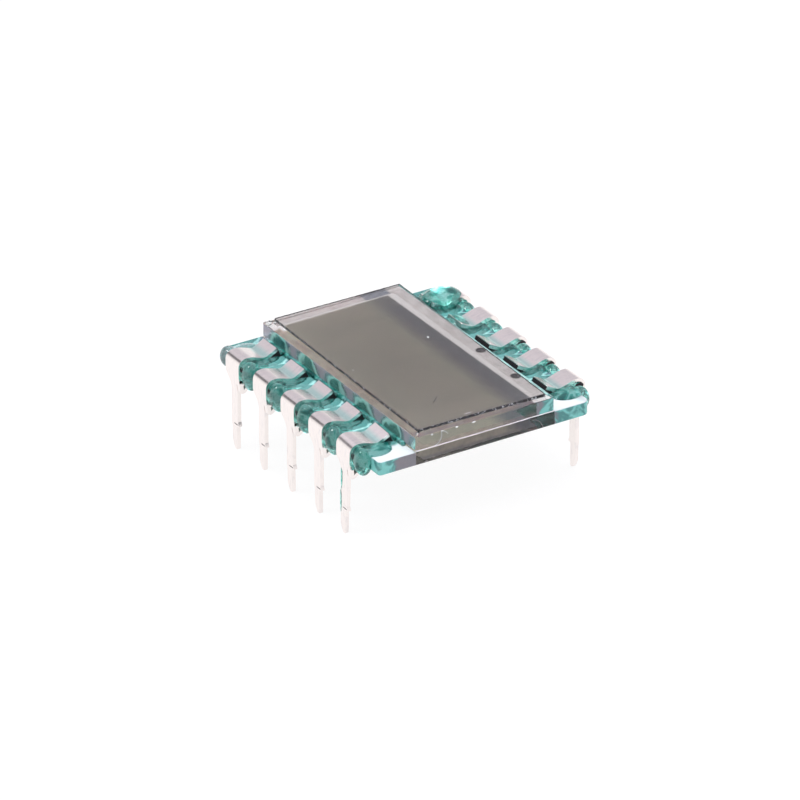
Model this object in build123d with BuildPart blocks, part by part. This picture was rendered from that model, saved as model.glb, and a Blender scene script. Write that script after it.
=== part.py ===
"""Small segment liquid crystal cell on ten edge-clip pins, in millimetres.

+X runs along the two pin rows, +Y across them and +Z up out of the display face.
The origin is on the plane of the pin tips, at the centre of the pin field.
"""

import os

from build123d import *

os.makedirs("parts", exist_ok=True)

# Pin field
pin_pitch = 2.54
pins_per_row = 5
row_spacing = 12.7
stand_off = 3.9

# Clip pins, blanked and bent from one strip
strip_thickness = 0.2
head_width = 1.2
leg_width = 0.56
tip_width = 0.42
tip_flat = 0.16
tip_slant = 0.4
tie_bar_height = 1.3
neck_above_glass = 0.2
neck_below_glass = 0.65
head_lean = 0.13
head_rise = 0.24
head_flat = 0.55
knee_radius = 0.35
lean_radius = 0.8
arch_radius = 0.5
contact_flat = 0.2
contact_radius = 0.25
lip_run = 0.6
lip_rise = 0.32
lip_gap = 0.52

# Lower prong of each clip, lanced beside the leg
prong_slit = 0.05
slit_top = 0.3
prong_drop = 0.72
prong_radius = 0.16
prong_inset = 0.35
prong_flat = 0.2
prong_lead = 0.25
prong_lead_drop = 0.12

# Glass cell
cell_length = 14.0
cell_shift = 0.2
glass_thickness = 0.7
edge_clearance = 0.35
ledge_width = 2.025
corner_break = 0.15
corner_chip = 0.4
cell_gap = 0.05
electrode_thickness = 0.01

# Seal, fill port with its plug, and transfer dots
seal_inset = 0.1
seal_width = 0.6
seal_corner = 0.8
port_width = 1.4
port_offset = 2.3
plug_cap = 0.12
plug_overlap = 0.35
plug_taper = 45
dot_radius = 0.22
dot_sides = 12
dot_inset = 0.345
dot_places = (1.2, 4.3)

# Polarising films and reflector
film_thickness = 0.2
front_film_margin_x = 0.33
front_film_margin_y = 0.45
front_film_skew = -0.8
rear_film_margin_x = 0.55
rear_film_margin_y = 0.69
rear_film_shift = -0.16
rear_film_skew = 0.65
reflector_thickness = 0.05

# One digit with a point, top towards -X and right-hand side towards +Y
digit_height = 9.0
digit_width = 4.6
digit_shift = -0.35
segment_width = 0.75
segment_break = 0.16
point_radius = 0.4
point_gap = 0.75
lead_width = 0.16
lead_gap = 0.14
pad_width = 0.9
pad_inset = 0.2
common_inset = 0.1

# Resin bead along each clip row
bead_reach = 0.75
bead_dip = 0.16
bead_crown = 0.3
bead_crown_width = 0.45
bead_flow_radius = 0.5
bead_wall = 0.12
bead_wall_radius = 0.25
bead_front_gap = 0.62
bead_back_gap = 0.12
bead_corner = 0.3
fill_drop = 0.3
lobe_width = 0.86
lobe_drop = 0.42
lobe_bevel = 0.14
lobe_corner = 0.24
puddle_radius = 0.68
puddle_height = 0.15
puddle_sides = 12
puddle_taper = 60
drop_width = 1.6
drop_height = 0.95

# Heights, from the pin tips up
glass_bottom = stand_off
ledge = glass_bottom + glass_thickness
front_glass_bottom = ledge + cell_gap
glass_top = front_glass_bottom + glass_thickness
electrode_top = ledge + electrode_thickness
fluid_gap = cell_gap - 2 * electrode_thickness

# Widths across the rows
leg_mid = row_spacing / 2
leg_inner = leg_mid - strip_thickness / 2
rear_half = leg_inner - edge_clearance
front_half = rear_half - ledge_width
rear_width = 2 * rear_half
front_width = 2 * front_half
cell_front = cell_shift + cell_length / 2
cell_back = cell_shift - cell_length / 2
knee_mid = leg_mid + head_lean
pin_places = [pin_pitch * (i - (pins_per_row - 1) / 2) for i in range(pins_per_row)]
dot_line = front_half - dot_inset
sides = {"left": -1, "right": 1}
buried_heads = {"left": [], "right": [pin_places[0]]}
broken_legs = {"left": [], "right": [pin_places[3]]}


def export(piece, name):
    """Label a finished piece and write its STEP file."""
    piece.label = name
    export_step(piece, f"parts/{name}.step")


def across(x, side):
    """Plane across the rows at x, with its first axis pointing out of the cell."""
    return Plane(origin=(x, 0, 0), x_dir=(0, side, 0), z_dir=(side, 0, 0))


def along(x, side):
    """Plane facing one row at x, seen from outside, with its second axis up."""
    return Plane(origin=(x, 0, 0), x_dir=(side, 0, 0), z_dir=(0, -side, 0))


def clip_bends():
    """Centre line of the strip from the leg's tip over the knee to the contact lip."""
    contact = electrode_top + strip_thickness / 2
    top = contact + head_rise - electrode_thickness
    lip_end = front_half + lip_gap
    contact_inner = lip_end + lip_run
    contact_outer = contact_inner + contact_flat
    points = [
        (leg_mid, 0),
        (leg_mid, glass_bottom - neck_below_glass),
        (knee_mid, glass_bottom + neck_above_glass),
        (knee_mid, top),
        (knee_mid - head_flat, top),
        (contact_outer, contact),
        (contact_inner, contact),
        (lip_end, contact + lip_rise),
    ]
    radii = [lean_radius, lean_radius, knee_radius, arch_radius, contact_radius, contact_radius]
    return points, radii


def prong_bends():
    """Centre line of the lower prong, from the shoulder round to the glass underside."""
    contact = glass_bottom - strip_thickness / 2
    contact_outer = rear_half - prong_inset
    contact_inner = contact_outer - prong_flat
    points = [
        (leg_mid + head_lean * 0.8, glass_bottom),
        (leg_mid, glass_bottom - prong_drop),
        (contact_outer, contact),
        (contact_inner, contact),
        (contact_inner - prong_lead, contact - prong_lead_drop),
    ]
    radii = [prong_radius, contact_radius, contact_radius]
    return points, radii


def make_pin(x, side, broken):
    """Clip pin: leg, tapered neck, knee, sprung lip and lower prong; a broken leg ends at its nick."""
    points, radii = clip_bends()
    prong_points, prong_radii = prong_bends()
    prong_edge = leg_width / 2 + prong_slit
    prong_width = head_width / 2 - prong_edge
    with BuildPart() as pin:
        with BuildSketch(across(x, side)):
            with BuildLine():
                FilletPolyline(*points, radius=radii)
            trace(line_width=strip_thickness)
        extrude(amount=head_width / 2, both=True)
        with BuildSketch(along(x, side)) as blank:
            with BuildLine():
                Polyline(
                    (tip_flat - tip_width / 2, 0),
                    (tip_width / 2, tip_slant),
                    (tip_width / 2, tie_bar_height),
                    (leg_width / 2, tie_bar_height),
                    (leg_width / 2, glass_bottom - neck_below_glass),
                    (head_width / 2, glass_bottom + neck_above_glass / 2),
                    (head_width / 2, 2 * glass_top),
                    (-head_width / 2, 2 * glass_top),
                    (-head_width / 2, glass_bottom - slit_top),
                    (-leg_width / 2, glass_bottom - slit_top),
                    (-leg_width / 2, tie_bar_height),
                    (-tip_width / 2, tie_bar_height),
                    (-tip_width / 2, 0),
                    close=True,
                )
            make_face()
        extrude(amount=row_spacing, both=True, mode=Mode.INTERSECT)
        with BuildSketch(across(x, side).offset(-prong_edge)):
            with BuildLine():
                FilletPolyline(*prong_points, radius=prong_radii)
            trace(line_width=strip_thickness)
        extrude(amount=-prong_width)
        if broken:
            split(bisect_by=Plane.XY.offset(tie_bar_height), keep=Keep.TOP)
    return pin.part


def glass_plate(width, bottom, worn_corner):
    """Glass plate with broken corners, its front right-hand one worn to a larger radius."""
    with BuildPart() as plate:
        with BuildSketch(Plane.XY.offset(bottom)):
            with Locations((cell_shift, 0)):
                Rectangle(cell_length, width)
            front_right = (cell_front, width / 2)
            chamfer(vertices().sort_by_distance(front_right)[1:], corner_break)
            fillet(vertices().sort_by_distance(front_right)[0], worn_corner)
        extrude(amount=glass_thickness)
    return plate.part


def film(bottom, thickness, margin_x, margin_y, skew, shift=0):
    """Film cut to the front glass less its margins, laid a little aside and out of square."""
    with BuildPart() as sheet:
        with BuildSketch(Plane.XY.offset(bottom)):
            with Locations((cell_shift, shift)):
                Rectangle(cell_length - 2 * margin_x, front_width - 2 * margin_y, rotation=skew)
        extrude(amount=thickness)
    return sheet.part


def pool_outline(mode=Mode.ADD):
    """Outline of the pool of liquid crystal that the seal runs round."""
    inset = 2 * (seal_inset + seal_width)
    with Locations((cell_shift, 0)):
        RectangleRounded(cell_length - inset, front_width - inset, seal_corner - seal_width, mode=mode)


def make_seal():
    """Epoxy gasket between the plates, open at the fill port and round the dots."""
    with BuildPart() as seal:
        with BuildSketch(Plane.XY.offset(electrode_top)):
            with Locations((cell_shift, 0)):
                RectangleRounded(
                    cell_length - 2 * seal_inset, front_width - 2 * seal_inset, seal_corner
                )
            pool_outline(Mode.SUBTRACT)
            with Locations((cell_back, port_offset)):
                Rectangle(4 * seal_width, port_width, mode=Mode.SUBTRACT)
            with Locations(*[(x, dot_line) for x in dot_places]):
                RegularPolygon(dot_radius, dot_sides, mode=Mode.SUBTRACT)
        extrude(amount=fluid_gap)
    return seal.part


def make_liquid_crystal():
    """Thin pool of liquid crystal that fills the cell inside the seal."""
    with BuildPart() as pool:
        with BuildSketch(Plane.XY.offset(electrode_top)):
            pool_outline()
        extrude(amount=fluid_gap)
    return pool.part


def make_plug():
    """Cured drop in the fill port, with a domed cap over the edges of both plates."""
    with BuildPart() as plug:
        with BuildSketch(Plane.XY.offset(electrode_top)):
            with Locations((cell_back, port_offset)):
                Rectangle(seal_inset + seal_width, port_width, align=(Align.MIN, Align.CENTER))
        extrude(amount=fluid_gap)
        with BuildSketch(across(cell_back, -1)):
            with Locations((-port_offset, ledge + cell_gap / 2)):
                SlotOverall(port_width + 2 * plug_overlap, 2 * plug_overlap)
        extrude(amount=plug_cap, taper=plug_taper)
    return plug.part


def make_dot(x):
    """Conductive dot that carries a pad's lead up to the common electrode."""
    with BuildPart() as dot:
        with BuildSketch(Plane.XY.offset(electrode_top)):
            with Locations((x, dot_line)):
                RegularPolygon(dot_radius, dot_sides)
        extrude(amount=fluid_gap)
    return dot.part


def bar(start, end):
    """One bar of the digit, pointed at both ends and set back from the bars it meets."""
    ahead = (Vector(*end) - Vector(*start)).normalized()
    half = segment_width / 2
    aside = Vector(-ahead.Y, ahead.X) * half
    first = Vector(*start) + ahead * segment_break
    last = Vector(*end) - ahead * segment_break
    with BuildLine() as outline:
        Polyline(
            first,
            first + ahead * half + aside,
            last - ahead * half + aside,
            last,
            last - ahead * half - aside,
            first + ahead * half - aside,
            close=True,
        )
    make_face(outline.edges())


def point_disc(centre):
    """Electrode of the decimal point, with as many sides as a transfer dot."""
    with Locations(centre):
        RegularPolygon(point_radius, dot_sides)


def land(centre):
    """Square land under a transfer dot."""
    with Locations(centre):
        Rectangle(dot_radius, dot_radius)


def electrode_plan():
    """Pin number, row, lead route and target of each electrode on the rear plate."""
    top = cell_shift - digit_height / 2
    middle = cell_shift
    base = cell_shift + digit_height / 2
    near = digit_shift - digit_width / 2
    far = digit_shift + digit_width / 2
    turn = segment_width / 2 + segment_break + lead_gap
    inner_lane = far + segment_width / 2 + lead_gap + lead_width
    outer_lane = inner_lane + lead_gap + lead_width
    point = (base, far + point_gap)
    dots = [(x, dot_line) for x in dot_places]
    back, upper, centre, lower, front = pin_places
    return [
        (back, "left", [(back, near + turn), (top, near + turn)], bar, ((top, near), (top, far))),
        (upper, "left", [(upper, near)], bar, ((top, near), (middle, near))),
        (
            centre,
            "left",
            [(centre, near - 2 * turn), (middle, near - turn), (middle, near + turn)],
            bar,
            ((middle, near), (middle, far)),
        ),
        (lower, "left", [(lower, near)], bar, ((middle, near), (base, near))),
        (front, "left", [(front, near + turn), (base, near + turn)], bar, ((base, near), (base, far))),
        (
            back,
            "right",
            [(back, outer_lane), (top + 2 * turn, inner_lane), (top + 2 * turn, far)],
            bar,
            ((top, far), (middle, far)),
        ),
        (
            upper,
            "right",
            [(upper, inner_lane), (middle + turn, inner_lane), (middle + turn, far)],
            bar,
            ((middle, far), (base, far)),
        ),
        (
            centre,
            "right",
            [(centre, outer_lane), (base - point_gap, outer_lane), point],
            point_disc,
            (point,),
        ),
        (lower, "right", [dots[0]], land, (dots[0],)),
        (front, "right", [dots[1]], land, (dots[1],)),
    ]


def make_segment_electrodes():
    """Transparent electrodes on the rear plate: pads on the ledges, leads and digit."""
    pad_start = front_half + pad_inset
    pad_end = rear_half - pad_inset
    with BuildPart() as layer:
        for x, row, route, target, shape in electrode_plan():
            pad = (x, sides[row] * (pad_start + pad_end) / 2)
            with BuildSketch(Plane.XY.offset(ledge)):
                with Locations(pad):
                    Rectangle(pad_width, pad_end - pad_start)
                with BuildLine():
                    Polyline(pad, *route)
                trace(line_width=lead_width)
                target(*shape)
            extrude(amount=electrode_thickness)
    return layer.part


def make_common_electrode():
    """Transparent common electrode under the front plate, with a tab to each dot."""
    inset = 2 * (seal_inset + seal_width + common_inset)
    with BuildPart() as layer:
        with BuildSketch(Plane.XY.offset(electrode_top + fluid_gap)):
            with Locations((cell_shift, 0)):
                Rectangle(cell_length - inset, front_width - inset)
            for x in dot_places:
                with Locations((x, dot_line)):
                    RegularPolygon(dot_radius, dot_sides)
                    Rectangle(dot_radius, dot_line, align=(Align.CENTER, Align.MAX))
        extrude(amount=electrode_thickness)
    return layer.part


def bead_section():
    """Section of the resin bead between two clips: foot, dip, crown and outer wall."""
    foot = front_half + bead_reach
    wall = knee_mid - bead_wall
    low = electrode_top + bead_dip
    high = electrode_top + bead_crown
    with BuildLine() as outline:
        top = FilletPolyline(
            (foot + bead_dip, low),
            ((foot + wall) / 2, low),
            (wall - bead_crown_width, high),
            (wall, high),
            (wall, glass_bottom),
            radius=[bead_flow_radius, bead_flow_radius, bead_wall_radius],
        )
        Polyline(
            top @ 1,
            (rear_half, glass_bottom),
            (rear_half, electrode_top),
            (foot, electrode_top),
            top @ 0,
        )
    make_face(outline.edges())


def fill_section():
    """Section of the resin under a clip, up to the middle of the strip's thickness."""
    points, _ = clip_bends()
    contact, arch, knee, shoulder = points[5], points[4], points[3], points[2]
    with BuildLine() as outline:
        strip = FilletPolyline(contact, arch, knee, shoulder, radius=[arch_radius, knee_radius])
        Polyline(
            strip @ 1,
            (shoulder[0] - strip_thickness / 2, shoulder[1]),
            (leg_mid, glass_bottom - fill_drop),
            (rear_half, glass_bottom),
            (rear_half, electrode_top),
            (contact[0], electrode_top),
            strip @ 0,
        )
    make_face(outline.edges())


def make_lobes(side):
    """Drops that hang from the bead between the clips and past the front one."""
    wall = knee_mid - bead_wall
    gaps = [(a + b) / 2 for a, b in zip(pin_places, pin_places[1:])]
    places = gaps + [pin_places[-1] + (head_width + lobe_width) / 2]
    length = pin_places[-1] + head_width / 2 + lobe_width
    with BuildPart() as lobes:
        with BuildSketch(across(0, side)):
            with Locations((rear_half, glass_bottom - lobe_drop)):
                Rectangle(wall - rear_half, 2 * lobe_drop, align=(Align.MIN, Align.MIN))
            chamfer(vertices().group_by(Axis.Y)[0], lobe_bevel)
        extrude(amount=length, both=True)
        with BuildSketch(along(0, side)):
            with Locations(*[(side * x, glass_bottom - lobe_drop) for x in places]):
                Rectangle(lobe_width, 2 * lobe_drop, align=(Align.CENTER, Align.MIN))
            chamfer(vertices().group_by(Axis.Y)[0], lobe_corner)
        extrude(amount=row_spacing, both=True, mode=Mode.INTERSECT)
    return lobes.part


def make_drop(x, side):
    """Dome of surplus resin that buries the head of one clip."""
    foot = front_half + lip_gap
    wall = knee_mid - bead_wall
    top = electrode_top + drop_height
    half = drop_width / 2
    with BuildPart() as drop:
        with BuildSketch(across(x, side)):
            with BuildLine():
                dome = Bezier((foot, electrode_top), (foot, top), (wall, top), (wall, electrode_top))
                Line(dome @ 1, dome @ 0)
            make_face()
        extrude(amount=half, both=True)
        with BuildSketch(along(x, side)):
            with BuildLine():
                dome = Bezier((-half, electrode_top), (-half, top), (half, top), (half, electrode_top))
                Line(dome @ 1, dome @ 0)
            make_face()
        extrude(amount=row_spacing, both=True, mode=Mode.INTERSECT)
    return drop.part


def make_resin(side, row_pins, buried):
    """Resin that pots one clip row: bead, fill under the arches, lobes and puddles."""
    front = cell_front - bead_front_gap
    back = cell_back + bead_back_gap
    plan_width = knee_mid - bead_wall - front_half
    lobes = make_lobes(side)
    drops = [make_drop(x, side) for x in buried]
    with BuildPart() as resin:
        with BuildSketch(across(back, side)):
            bead_section()
        extrude(amount=side * (front - back))
        with BuildSketch(Plane.XY):
            with Locations(((front + back) / 2, side * (front_half + plan_width / 2))):
                Rectangle(front - back, plan_width)
            chamfer(vertices(), bead_corner)
        extrude(amount=2 * glass_top, mode=Mode.INTERSECT)
        for x in pin_places:
            with BuildSketch(across(x, side)):
                fill_section()
            extrude(amount=head_width / 2, both=True)
            with BuildSketch(Plane.XY.offset(electrode_top)):
                with Locations((x, side * (front_half + bead_reach))):
                    RegularPolygon(puddle_radius, puddle_sides)
            extrude(amount=puddle_height, taper=puddle_taper)
        add(lobes)
        for drop in drops:
            add(drop)
        for pin in row_pins:
            add(pin, mode=Mode.SUBTRACT)
    return resin.part


pins = {}
for row, side in sides.items():
    for number, x in enumerate(pin_places, start=1):
        pins[f"clip_pin_{row}_{number}"] = make_pin(x, side, x in broken_legs[row])
for name, pin in pins.items():
    export(pin, name)

export(glass_plate(rear_width, glass_bottom, corner_chip), "rear_glass")
export(glass_plate(front_width, front_glass_bottom, corner_break), "front_glass")
export(make_seal(), "perimeter_seal")
export(make_liquid_crystal(), "liquid_crystal")
export(make_plug(), "fill_port_plug")
for number, x in enumerate(dot_places, start=1):
    export(make_dot(x), f"transfer_dot_{number}")
export(make_segment_electrodes(), "segment_electrodes")
export(make_common_electrode(), "common_electrode")

front_film = film(glass_top, film_thickness, front_film_margin_x, front_film_margin_y, front_film_skew)
export(front_film, "front_polariser")
rear_margins = (rear_film_margin_x, rear_film_margin_y, rear_film_skew, rear_film_shift)
film_bottom = glass_bottom - film_thickness
export(film(film_bottom, film_thickness, *rear_margins), "rear_polariser")
export(film(film_bottom - reflector_thickness, reflector_thickness, *rear_margins), "reflector_foil")

for row, side in sides.items():
    row_pins = [pin for name, pin in pins.items() if row in name]
    export(make_resin(side, row_pins, buried_heads[row]), f"resin_{row}")
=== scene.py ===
"""Looks of a small segment liquid crystal cell on ten clip pins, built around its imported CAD.

New pieces are modelled in millimetres and brought to metres when they are finished.
+X runs along the pin rows towards the front, +Y across them and +Z out of the display.
"""

import math

import bmesh
import bpy
from bpy.props import FloatProperty, FloatVectorProperty, PointerProperty
from bpy.types import Operator, Panel, PropertyGroup
from mathutils import Matrix, Vector


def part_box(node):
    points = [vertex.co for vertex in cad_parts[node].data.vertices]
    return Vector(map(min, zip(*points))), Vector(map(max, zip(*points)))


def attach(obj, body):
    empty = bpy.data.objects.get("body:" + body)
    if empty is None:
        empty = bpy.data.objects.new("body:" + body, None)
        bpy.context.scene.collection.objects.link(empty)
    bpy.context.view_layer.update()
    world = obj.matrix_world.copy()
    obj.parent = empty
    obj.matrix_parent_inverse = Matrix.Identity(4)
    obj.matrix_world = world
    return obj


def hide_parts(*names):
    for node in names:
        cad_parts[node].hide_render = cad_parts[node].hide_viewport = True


bl_info = {
    "name": "Segment LCD looks",
    "version": (1, 0, 0),
    "blender": (4, 5, 0),
    "location": "3D View > Sidebar > Segment LCD",
    "description": "Dresses the packed segment LCD: clip pins, glass, films, resin and stage",
    "category": "Add Mesh",
}

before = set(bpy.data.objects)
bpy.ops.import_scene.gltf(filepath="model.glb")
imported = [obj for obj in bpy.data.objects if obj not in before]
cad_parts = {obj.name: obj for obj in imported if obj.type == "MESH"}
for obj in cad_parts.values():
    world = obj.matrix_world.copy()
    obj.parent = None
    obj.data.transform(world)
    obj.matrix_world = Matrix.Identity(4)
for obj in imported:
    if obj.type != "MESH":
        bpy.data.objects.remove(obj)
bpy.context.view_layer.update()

MM = 0.001
X, Y, Z = range(3)
ROWS = {"left": -1, "right": 1}


def node_box(name):
    """Lowest and highest corners of a CAD node, in millimetres."""
    low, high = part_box(name)
    return Vector(low) / MM, Vector(high) / MM


rear_low, rear_high = node_box("rear_glass")
_, front_high = node_box("front_glass")
PIN_PLACES = [sum(corner.x for corner in node_box(f"clip_pin_left_{n}")) / 2 for n in range(1, 6)]
PITCH = PIN_PLACES[1] - PIN_PLACES[0]

# Heights and edges of the two plates, in millimetres like all sizes that follow
UNDERSIDE = rear_low.z
LEDGE = rear_high.z
GAP_TOP = LEDGE + 0.05
GLASS_TOP = front_high.z
FRONT_EDGE = rear_high.x
BACK_EDGE = rear_low.x
REAR_HALF = rear_high.y
FRONT_HALF = front_high.y

# Corners of the plates: the rear plate's worn one, and all the others
WORN_CORNER = 0.4
CORNER = 0.15

# Play between faces that lie on each other, and the break of a small piece's edges
PLAY = 0.003
FINE_EDGE = 0.012

# Clip pins: strip, half widths, and the lines that the strip follows
STRIP = 0.2
HALF_HEAD = 0.6
HALF_LEG = 0.28
LEG_LINE = 6.35
KNEE_LINE = 6.48
LIP_END = FRONT_HALF + 0.52
CONTACT_LINE = LEDGE + 0.11
HEAD_LINE = CONTACT_LINE + 0.23
NICK = 1.3

# Where the resin's stain on the plates' edges begins
REAR_STAIN_LINE = 3.87
FRONT_STAIN_LINE = 2.85

# Films: outlines as two corners, their heights and how far they lie out of square, in degrees
FRONT_FILM = ((BACK_EDGE + 0.33, -FRONT_HALF + 0.45), (FRONT_EDGE - 0.33, FRONT_HALF - 0.27))
REAR_FILM = ((BACK_EDGE + 0.55, -FRONT_HALF + 0.53), (FRONT_EDGE - 0.55, FRONT_HALF - 0.85))
FILM_TOP = GLASS_TOP + 0.19
FOIL_TOP = UNDERSIDE - 0.2
FOIL = 0.05
FRONT_SKEW = -0.8
REAR_SKEW = 0.65

# Waves of a ragged edge: turn per millimetre and start, both in radians
FILM_WAVES = ((11.3, 0), (23.9, 1.3), (41.7, 0))
RIM_WAVES = ((3.1, 0), (7.7, 0.4), (17.3, 0))

# Material slots of the two plates after the first, which is plain float glass
CUT, BONDED, REAR_STAIN, FRONT_STAIN, WETTED, SHADED = range(1, 7)

# A face looks along an axis when its normal's part along that axis is more than this
FACING = 0.9

# Inputs of a Mix node that blends two colours, and refractive indices
SHARE, FIRST, SECOND = 0, 6, 7
GLASS_IOR = 1.52
PLASTIC_IOR = 1.5

# Stage: point the camera looks at, direction of the tent's dark port, bounces of light
TARGET = Vector((-0.1471, -0.1805, 3.0559))
DARK_PORT = (-0.75, -0.467, 0.468)
CLEAR_BOUNCES = 48
BOUNCES = 24


def linear(code):
    """Linear colour of an sRGB hex code."""
    parts = [int(code[i : i + 2], 16) / 255 for i in (0, 2, 4)]
    return [c / 12.92 if c <= 0.04045 else ((c + 0.055) / 1.055) ** 2.4 for c in parts] + [1.0]


WHITE = linear("FFFFFF")


def colour(name, code, text):
    """Colour property with an sRGB hex default."""
    return FloatVectorProperty(
        name=name, description=text, subtype="COLOR", size=4, min=0, max=1, default=linear(code)
    )


def length(name, millimetres, text):
    """Length property whose default is given in millimetres."""
    return FloatProperty(name=name, description=text, unit="LENGTH", default=millimetres * MM)


def plain(name, value, text):
    """Property that holds a plain number."""
    return FloatProperty(name=name, description=text, default=value)


class PinSettings(PropertyGroup):
    """Sizes and colours of the clip pins."""

    edge_round: length("Edge rounding", 0.03, "Rounding of the strip's blanked edges")
    steel: colour("Tinned steel", "F8F0ED", "Bright side of the tin coat")
    dull: colour("Dull tin", "E6DFE0", "Dull side of the tin coat")
    # Painted reflection: the teal that the lip's valley mirrors from the resin
    smear_and_reflection: colour("Smear", "9FE3DB", "Thin resin smeared over the lip")
    # Painted shade: the black put in the pocket under each lip and in the nick, also used for dark
    # specks by the knee
    char: colour("Flux char", "111214", "Residue in the pocket under each lip")


class GlassSettings(PropertyGroup):
    """Sizes and colours of the two plates."""

    edge_round: length("Edge break", 0.05, "Break along the plates' edges")
    body: colour("Glass", "F4F7F8", "Float glass, seen through")
    cut: colour("Cut edge", "DDE4E6", "Scribed and broken edge of the glass")
    # Painted shade: the short edges of the rear glass are coloured dark to stand for the shade on
    # them, with lighter streaks along the break
    shade: colour("Shaded edge", "5E5458", "Short edges of the rear glass, dull with dirt")
    clean: colour("Clean streaks", "A89CA2", "Cleaner streaks along the shaded edge")


class FilmSettings(PropertyGroup):
    """Colours and ragged cut of the films."""

    grey: colour("Polariser", "33372F", "Shade of the dyed film")
    see_through: FloatProperty(
        name="See-through", description="Share of light that passes the front film",
        subtype="FACTOR", min=0, max=1, default=0.67,
    )
    coat: colour("Hard coat", "FBEFED", "Faint warm tint of the front film")
    reflector: colour("Reflector", "FEFEE4", "Diffuse reflector behind the rear film")
    # Painted shade: the band stands for the shadow that falls on the reflector along its sides
    band: colour("Band", "B2B9BE", "Darker band along the reflector's far sides")
    ragged: length("Ragged cut", 0.03, "Unevenness of the cut edges")


class ResinSettings(PropertyGroup):
    """Grain and colours of the potting resin."""

    voxel: length("Voxel", 0.05, "Grain at which the resin's blobs are fused")
    # Pale and dark tones of the swirls: partly the resin's own colour, partly painted highlights and
    # painted shade; neither follows the resin's thickness
    teal: colour("Teal resin", "B4FBF2", "Dyed resin, seen through")
    dark_swirl: colour("Deep teal", "4FC4B6", "Thick places of the resin")
    pale: colour("Pale resin", "E6F1F2", "Clear resin at the back of the left row")


class StageSettings(PropertyGroup):
    """Camera, floor and light."""

    distance: length("Distance", 400, "Distance from the camera to the object")
    azimuth: plain("Azimuth", 58.122, "Camera azimuth in degrees")
    elevation: plain("Elevation", 27.897, "Camera elevation in degrees")
    roll: plain("Roll", -0.069, "Camera roll in degrees")
    lens: plain("Lens", 376.226, "Focal length in millimetres")
    floor: colour("Floor", "FBFAFA", "Pale studio floor")
    glow: plain("Floor glow", 0.93, "Share of even white in the floor that is seen")
    sky: colour("Sky", "CBC8D0", "Light of the tent above the horizon")
    rim: colour("Rim", "FFFFFF", "Light of the tent near the horizon")
    overhead: plain("Overhead", 6.2, "Strength of the soft box overhead")
    mirrored: plain("Mirrored", 1.5, "Most of that strength that a reflection shows")
    lamp_place: FloatVectorProperty(
        name="Lamp", description="Place of the side lamp", subtype="TRANSLATION",
        default=(-0.25, -0.5, 0.55),
    )
    lamp_size: length("Lamp size", 200, "Side of the square side lamp")
    lamp_power: plain("Lamp power", 1.4, "Power of the side lamp in watts")


def begin():
    """Leave edit mode and deselect everything, before a piece is added or taken up."""
    if bpy.context.mode != "OBJECT":
        bpy.ops.object.mode_set(mode="OBJECT")
    bpy.ops.object.select_all(action="DESELECT")


def take(piece):
    """Select one piece alone and make it the active one."""
    begin()
    bpy.context.view_layer.objects.active = piece
    piece.select_set(True)


def edit(piece):
    """Go into edit mode on one piece."""
    take(piece)
    bpy.ops.object.mode_set(mode="EDIT")


def settle():
    """Put the selected piece's place, turn and scale into its mesh, and return the piece."""
    bpy.ops.object.transform_apply(location=True, rotation=True, scale=True)
    return bpy.context.object


def apply_modifier(piece, kind, **settings):
    """Put a modifier on a piece with its settings, and apply it."""
    take(piece)
    modifier = piece.modifiers.new(kind.lower(), kind)
    for key, value in settings.items():
        setattr(modifier, key, value)
    bpy.ops.object.modifier_apply(modifier=modifier.name)


def join(pieces):
    """Join several pieces into the first one."""
    take(pieces[0])
    for piece in pieces:
        piece.select_set(True)
    bpy.ops.object.join()
    return bpy.context.object


def finish_piece(piece, name, nodes, smooth=20):
    """Bring a piece from millimetres to metres, hide the CAD nodes it stands for and hang it under the
    root.
    """
    take(piece)
    piece.scale = (MM, MM, MM)
    settle()
    bpy.ops.object.shade_smooth_by_angle(angle=math.radians(smooth))
    piece.name = name
    piece.data.name = name
    if nodes:
        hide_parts(*nodes)
    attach(piece, "root")


def block(low, high):
    """Cube primitive that fills the box between two corners."""
    begin()
    low, high = Vector(low), Vector(high)
    bpy.ops.mesh.primitive_cube_add(size=1, location=(low + high) / 2, scale=high - low)
    return settle()


def blob(centre, size):
    """Ellipsoid with three half sizes, for a drop, a speck, a chip or a scratch."""
    begin()
    bpy.ops.mesh.primitive_uv_sphere_add(
        segments=24, ring_count=16, radius=1, location=centre, scale=size
    )
    return settle()


def middle(item):
    """Middle of an edge or a face."""
    return sum((v.co for v in item.verts), Vector()) / len(item.verts)


def span(edge, axis):
    """How far an edge runs along an axis."""
    return abs(edge.verts[0].co[axis] - edge.verts[1].co[axis])


def pick(kind, wanted):
    """In edit mode, select only the vertices, edges or faces that pass a test."""
    bpy.ops.mesh.select_mode(type=kind)
    bpy.ops.mesh.select_all(action="DESELECT")
    mesh = bmesh.from_edit_mesh(bpy.context.object.data)
    for item in {"VERT": mesh.verts, "EDGE": mesh.edges, "FACE": mesh.faces}[kind]:
        item.select = wanted(item)
    mesh.select_flush_mode()
    bmesh.update_edit_mesh(bpy.context.object.data)


def shift(wanted, by):
    """In edit mode, move the vertices that pass a test."""
    pick("VERT", wanted)
    bpy.ops.transform.translate(value=by)


def cut_across(axis, lines):
    """In edit mode, cut the whole mesh square to an axis, once at each line."""
    for line in lines:
        point, normal = Vector(), Vector()
        point[axis], normal[axis] = line, 1
        bpy.ops.mesh.select_all(action="SELECT")
        bpy.ops.mesh.bisect(plane_co=point, plane_no=normal)


def face_outwards():
    """In edit mode, turn all faces outwards."""
    bpy.ops.mesh.select_all(action="SELECT")
    bpy.ops.mesh.normals_make_consistent(inside=False)


def assign_faces(piece, index, wanted):
    """Give the faces that pass a test one of the piece's material slots."""
    edit(piece)
    pick("FACE", wanted)
    piece.active_material_index = index
    bpy.ops.object.material_slot_assign()


def waver(along, waves):
    """Mean of several waves at a place along an edge, the same in every run."""
    return sum(math.sin(along * turn + start) for turn, start in waves) / len(waves)


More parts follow.
